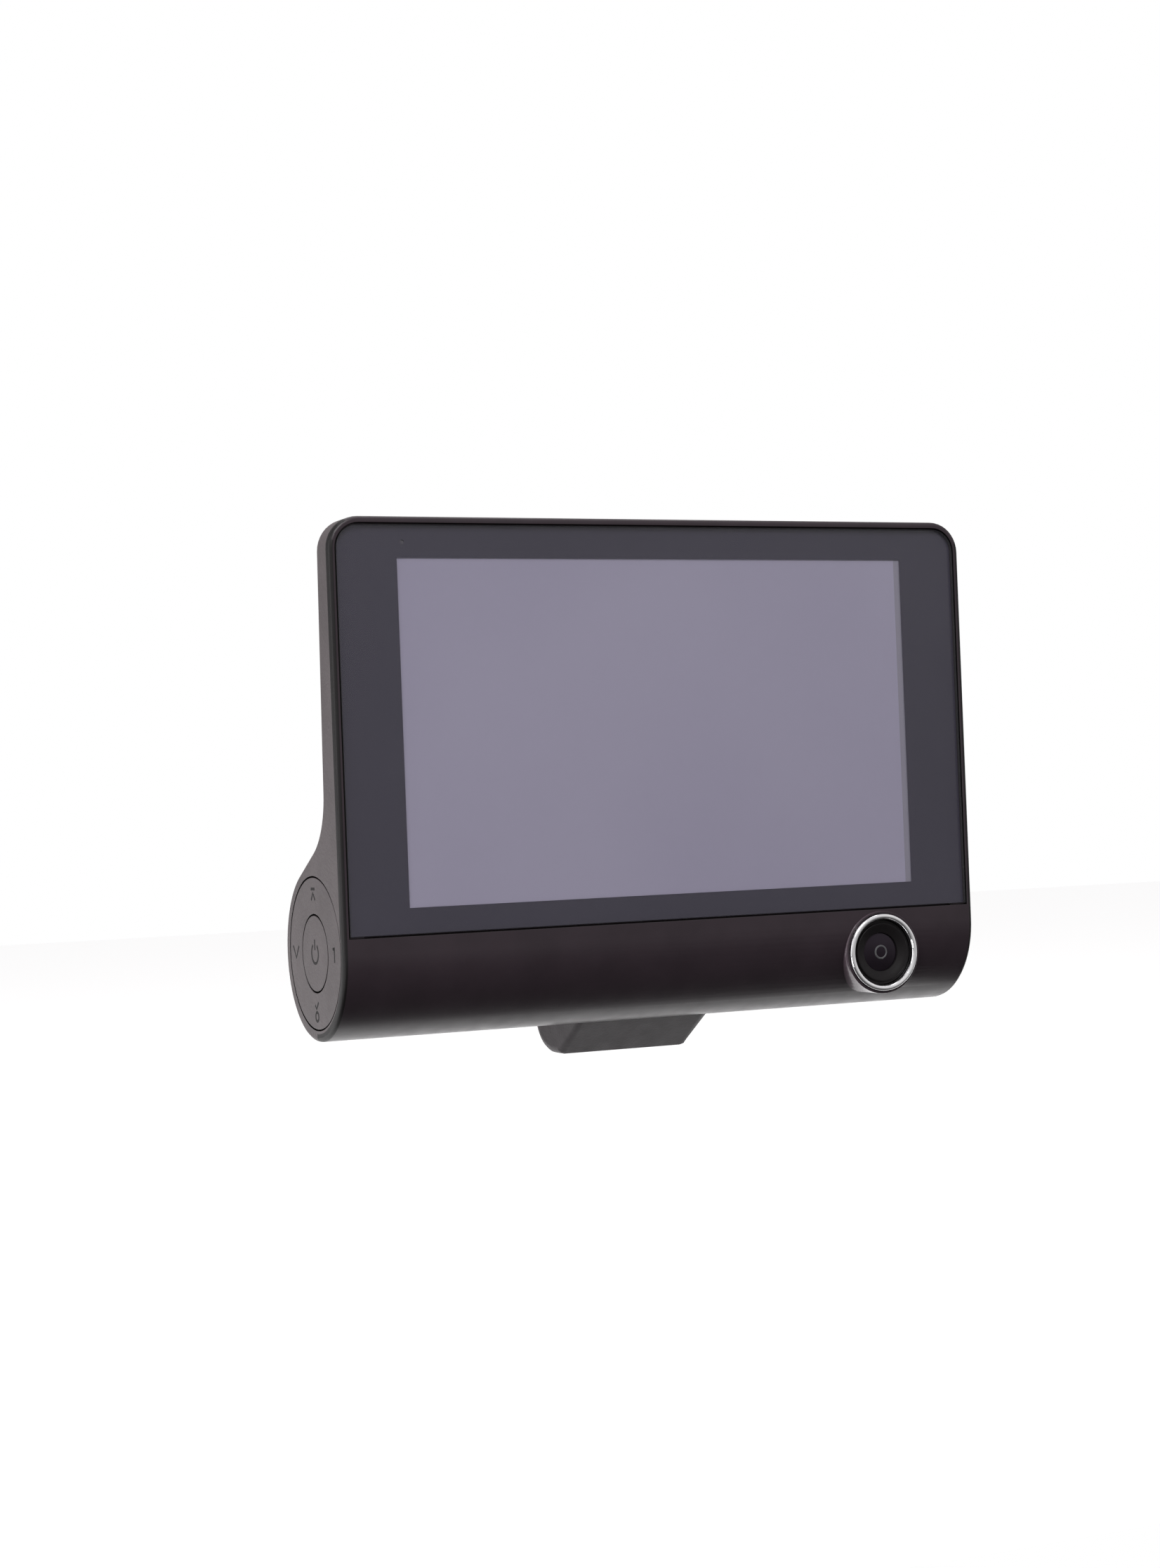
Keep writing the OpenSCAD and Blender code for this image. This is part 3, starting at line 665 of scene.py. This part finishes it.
def ribbon_faces(bm, points, closed):
    """A flat stroke along points (u, v) of the key face, in mm."""
    count = len(points)
    rows = []
    for i, (u, v) in enumerate(points):
        before = points[i - 1] if closed or i else points[i]
        after = points[(i + 1) % count] if closed or i < count - 1 else points[i]
        along = Vector((after[0] - before[0], after[1] - before[1])).normalized()
        off = Vector((-along.y, along.x)) * MARK_WIDE / 2
        rows.append([bm.verts.new(on_key(u + s * off.x, v + s * off.y, w))
                     for s, w in ((1, 0), (-1, 0), (-1, MARK_THICK), (1, MARK_THICK))])
    pairs = list(zip(rows, rows[1:] + rows[:1])) if closed else list(zip(rows, rows[1:]))
    for row, after in pairs:
        for i in range(4):
            j = (i + 1) % 4
            bm.faces.new([row[i], row[j], after[j], after[i]])
    if not closed:
        bm.faces.new(rows[0])
        bm.faces.new(rows[-1])


def strokes(name, lines, body):
    """Printed marks on the key face: several strokes (points, closed) as one piece."""
    bm = bmesh.new()
    for points, closed in lines:
        ribbon_faces(bm, points, closed)
    bmesh.ops.recalc_face_normals(bm, faces=bm.faces)
    mesh = bpy.data.meshes.new(name)
    bm.to_mesh(mesh)
    bm.free()
    smooth(mesh)
    new_piece(name, mesh, mark_dark, body)


power_mark = [(arc((0, 0), 1.5, 125, 411.4, 27), False), ([(0, 0.5), (0, 2.1)], False)]
ring_marks = [
    ([(-0.85, MARK_R - 0.75), (0, MARK_R + 0.35), (0.85, MARK_R - 0.75)], False),
    ([(-0.85, MARK_R + 0.95), (0.85, MARK_R + 0.95)], False),
    ([(MARK_R, -1.1), (MARK_R, 1.2)], False),
    ([(MARK_R - 0.7, 0.9), (MARK_R - 0.1, 0.9)], False),
    ([(-MARK_R - 1.3, 0.9), (-MARK_R, -0.9), (-MARK_R + 1.3, 0.9)], False),
    (arc((0, -MARK_R - 0.75), 0.68, 0, 334.6, 27), True),
    ([(-0.75, -MARK_R + 0.95), (-0.2, -MARK_R + 0.4), (0.8, -MARK_R + 1.45)], False),
]
strokes("power_mark", power_mark, "power_key")
strokes("ring_marks", ring_marks, "ring_key")

# ---- cabin lens ---------------------------------------------------------------------

cabin_at = (cabin.x, FRONT, cabin.z)
TO_CABIN, TO_ROAD = (0, -1, 0), (0, 1, 0)

revolve("chrome_ring",
        [(6.15, -0.5), (6.15, 0.3)] + arc((5.8, 0.42), 0.35, 0, 80, 10)
        + [(5.6, 0.77), (5.42, 0.71), (5.28, 0.56), (5.2, 0.3), (5.2, -0.5)],
        cabin_at, TO_CABIN, chrome, ("cabin_chrome_ring",))
revolve("cabin_hood",
        [(3.05, -0.6), (3.1, -0.5), (3.3, -0.42), (3.9, -0.2)]
        + arc((4.5, -0.05), 0.15, 100, 0, 5)
        + [(4.65, -0.3), (5.1, -0.3), (5.1, -5), (4.2, -5), (4.2, -7), (2.4, -7),
           (2.4, -1.6), (3.05, -1.6)],
        cabin_at, TO_CABIN, barrel_black, ("cabin_lens_barrel",))
revolve("cabin_glass",
        [(0, -1.55), (3.0, -1.55)] + dome(3.0, 0.35, -0.75),
        cabin_at, TO_CABIN, front_lens_glass, ("cabin_front_lens",))
revolve("cabin_stop",
        [(0.8, -0.6), (0.85, -0.38), (0.95, -0.33), (1.08, -0.36), (1.15, -0.45),
         (1.15, -0.6)],
        cabin_at, TO_CABIN, part_grey)

# ---- road lens ----------------------------------------------------------------------

road_at = (road.x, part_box("road_lens_housing")[1].y, road.z)

revolve("road_trim",
        [(7.4, -1), (9.2, -1), (9.2, 0.85)] + arc((8.85, 0.85), 0.35, 0, 90, 6)
        + [(8.3, 1.2), (7.95, 0.95), (7.9, 0.8), (7.65, 0.62), (7.6, 0.45), (7.4, 0.3)],
        road_at, TO_ROAD, bezel_black, ("road_trim_ring",))
revolve("road_barrel",
        [(5.7, -2), (5.7, 0.9), (6.6, 0.9), (6.6, 1.2), (6.7, 1.3), (6.9, 1.3), (7.0, 1.2),
         (7.0, -7.5), (5.4, -7.5), (5.4, -10.5), (3.2, -10.5), (3.2, -2)],
        road_at, TO_ROAD, barrel_black, ("road_lens_barrel",))
revolve("road_lock_ring",
        [(5.1, 1.05), (5.25, 0.95), (6.55, 0.95), (6.55, 1.42), (6.47, 1.5), (5.5, 1.5),
         (5.3, 1.35), (5.1, 1.3)],
        road_at, TO_ROAD, part_black, ("road_retaining_ring",))
revolve("road_glass",
        [(0, -1.4), (5.6, -1.4)] + dome(5.6, 1.6, 0.6),
        road_at, TO_ROAD, front_lens_glass, ("road_front_lens",))

# ---- contacts in the USB socket -----------------------------------------------------

CONTACT_PITCH = 0.8 * MM
usb_mid = middle("usb_socket")
contact_rows = [usb_mid.z + place * CONTACT_PITCH for place in range(-2, 3)]
contacts = blocks(
    "usb_contacts",
    [((usb_hi.x - 7.5 * MM, usb_mid.y + 0.45 * MM, z - 0.2 * MM),
      (usb_hi.x - 1.9 * MM, usb_mid.y + 0.6 * MM, z + 0.2 * MM)) for z in contact_rows],
    0.04 * MM, contact_gold)
smooth(contacts.data)

# ---- unlit margin of the picture ----------------------------------------------------

PICTURE_INSET = 3.6 * MM                # from the panel's side edge to the picture
picture_right = lcd_hi.x - PICTURE_INSET
blocks("picture_margin",
       [((picture_right - 1.0 * MM, lcd_lo.y - 0.01 * MM, lcd_lo.z + 1.0 * MM),
         (picture_right + 0.8 * MM, lcd_lo.y + 0.04 * MM, lcd_hi.z - 0.6 * MM))],
       0.004 * MM, margin_film)

# ---- studio -------------------------------------------------------------------------

scene = bpy.context.scene
scene.view_settings.view_transform = "Standard"

# A dim room with a soft glow in front of the object, and a white backdrop for the camera
world = bpy.data.worlds.new("studio")
scene.world = world
world.use_nodes = True
tree = world.node_tree
tree.nodes.clear()


def world_node(kind, **inputs):
    node = tree.nodes.new("ShaderNode" + kind)
    for socket, value in inputs.items():
        node.inputs[socket.replace("_", " ")].default_value = value
    return node


BACK_LIGHT = 0.28                       # strength of the room behind the object
FRONT_LIGHT = 0.72                      # in front of it and above
FRONT_BELOW = 0.09                      # in front of it and below
HEIGHTS = (-0.35, 0.15)                 # of a ray, from FRONT_BELOW to FRONT_LIGHT
DEPTHS = (-0.1, 0.25)                   # of a ray, from the front's light to BACK_LIGHT
direction = world_node("SeparateXYZ")
tree.links.new(world_node("TexCoord").outputs["Generated"], direction.inputs["Vector"])
height = world_node("MapRange", From_Min=HEIGHTS[0], From_Max=HEIGHTS[1],
                    To_Min=FRONT_BELOW, To_Max=FRONT_LIGHT)
tree.links.new(direction.outputs["Z"], height.inputs["Value"])
backness = world_node("MapRange", From_Min=DEPTHS[0], From_Max=DEPTHS[1])
tree.links.new(direction.outputs["Y"], backness.inputs["Value"])
level = tree.nodes.new("ShaderNodeMix")
level.inputs["B"].default_value = BACK_LIGHT
tree.links.new(backness.outputs["Result"], level.inputs["Factor"])
tree.links.new(height.outputs["Result"], level.inputs["A"])
around = world_node("Background", Color=(1, 0.985, 0.99, 1))
tree.links.new(level.outputs["Result"], around.inputs["Strength"])
backdrop = world_node("Background", Color=(1, 1, 1, 1), Strength=1.0)
seen = world_node("MixShader")
tree.links.new(world_node("LightPath").outputs["Is Camera Ray"], seen.inputs[0])
tree.links.new(around.outputs[0], seen.inputs[1])
tree.links.new(backdrop.outputs[0], seen.inputs[2])
tree.links.new(seen.outputs[0], tree.nodes.new("ShaderNodeOutputWorld").inputs["Surface"])

# Pale floor below the object and behind it. The object hangs in front of its edge.
FLOOR_DROP = 0.10                       # below the object's lowest point
FLOOR_REACH = 3.0                       # to both sides and to the back
FLOOR_FRONT = 0.04                      # its front edge, behind the whole object
floor_z = cad_box[0][2] - FLOOR_DROP
corners = [(x, y, floor_z) for x, y in (
    (-FLOOR_REACH, FLOOR_FRONT), (FLOOR_REACH, FLOOR_FRONT),
    (FLOOR_REACH, FLOOR_REACH), (-FLOOR_REACH, FLOOR_REACH))]
floor_mesh = bpy.data.meshes.new("floor")
floor_mesh.from_pydata(corners, [], [(0, 1, 2, 3)])
floor = bpy.data.objects.new("floor", floor_mesh)
scene.collection.objects.link(floor)
paper = Finish("paper", (0.9, 0.9, 0.9), 0.8)
paper.shader.inputs["Emission Color"].default_value = (1, 1, 1, 1)
paper.shader.inputs["Emission Strength"].default_value = 0.5
paper.uneven(paper.noise(2), 0.05)
floor_mesh.materials.append(paper.mat)

CENTER = (Vector(cad_box[0]) + Vector(cad_box[1])) / 2


def area_light(name, place, size, power):
    """A rectangle of light that looks at the object's middle."""
    data = bpy.data.lights.new(name, "AREA")
    data.shape = "RECTANGLE"
    data.size, data.size_y = size
    data.energy = power
    lamp = bpy.data.objects.new(name, data)
    lamp.location = place
    aim = CENTER - Vector(place)
    lamp.rotation_euler = aim.to_track_quat("-Z", "Y").to_euler()
    scene.collection.objects.link(lamp)


area_light("key", (-0.35, -0.75, 0.75), (0.7, 0.5), 9.6)
area_light("side", (-0.9, 0.1, 0.15), (0.5, 0.7), 2.6)
area_light("low_left", (-0.7, -0.3, -0.35), (0.4, 0.3), 1.2)
area_light("top", (0.1, 0.25, 0.9), (0.8, 0.6), 4.0)

# ---- camera: from the left of the screen, a little below its middle -----------------

CAMERA_AT = (-0.1851, -0.3798, -0.0332)
CAMERA_RIGHT = Vector((0.9086, -0.416, -0.0385)).normalized()
CAMERA_AIM = Vector((0.4167, 0.909, 0.0109))
LENS = 61.71                            # in mm, on a sensor of 36 mm

camera_data = bpy.data.cameras.new("camera")
camera_data.lens = LENS
camera_data.sensor_width = 36
camera = bpy.data.objects.new("camera", camera_data)
forward = (CAMERA_AIM - CAMERA_RIGHT * CAMERA_AIM.dot(CAMERA_RIGHT)).normalized()
up = CAMERA_RIGHT.cross(forward)
turn = Matrix((CAMERA_RIGHT, up, -forward)).transposed().to_4x4()
camera.matrix_world = Matrix.Translation(CAMERA_AT) @ turn
scene.collection.objects.link(camera)
scene.camera = camera
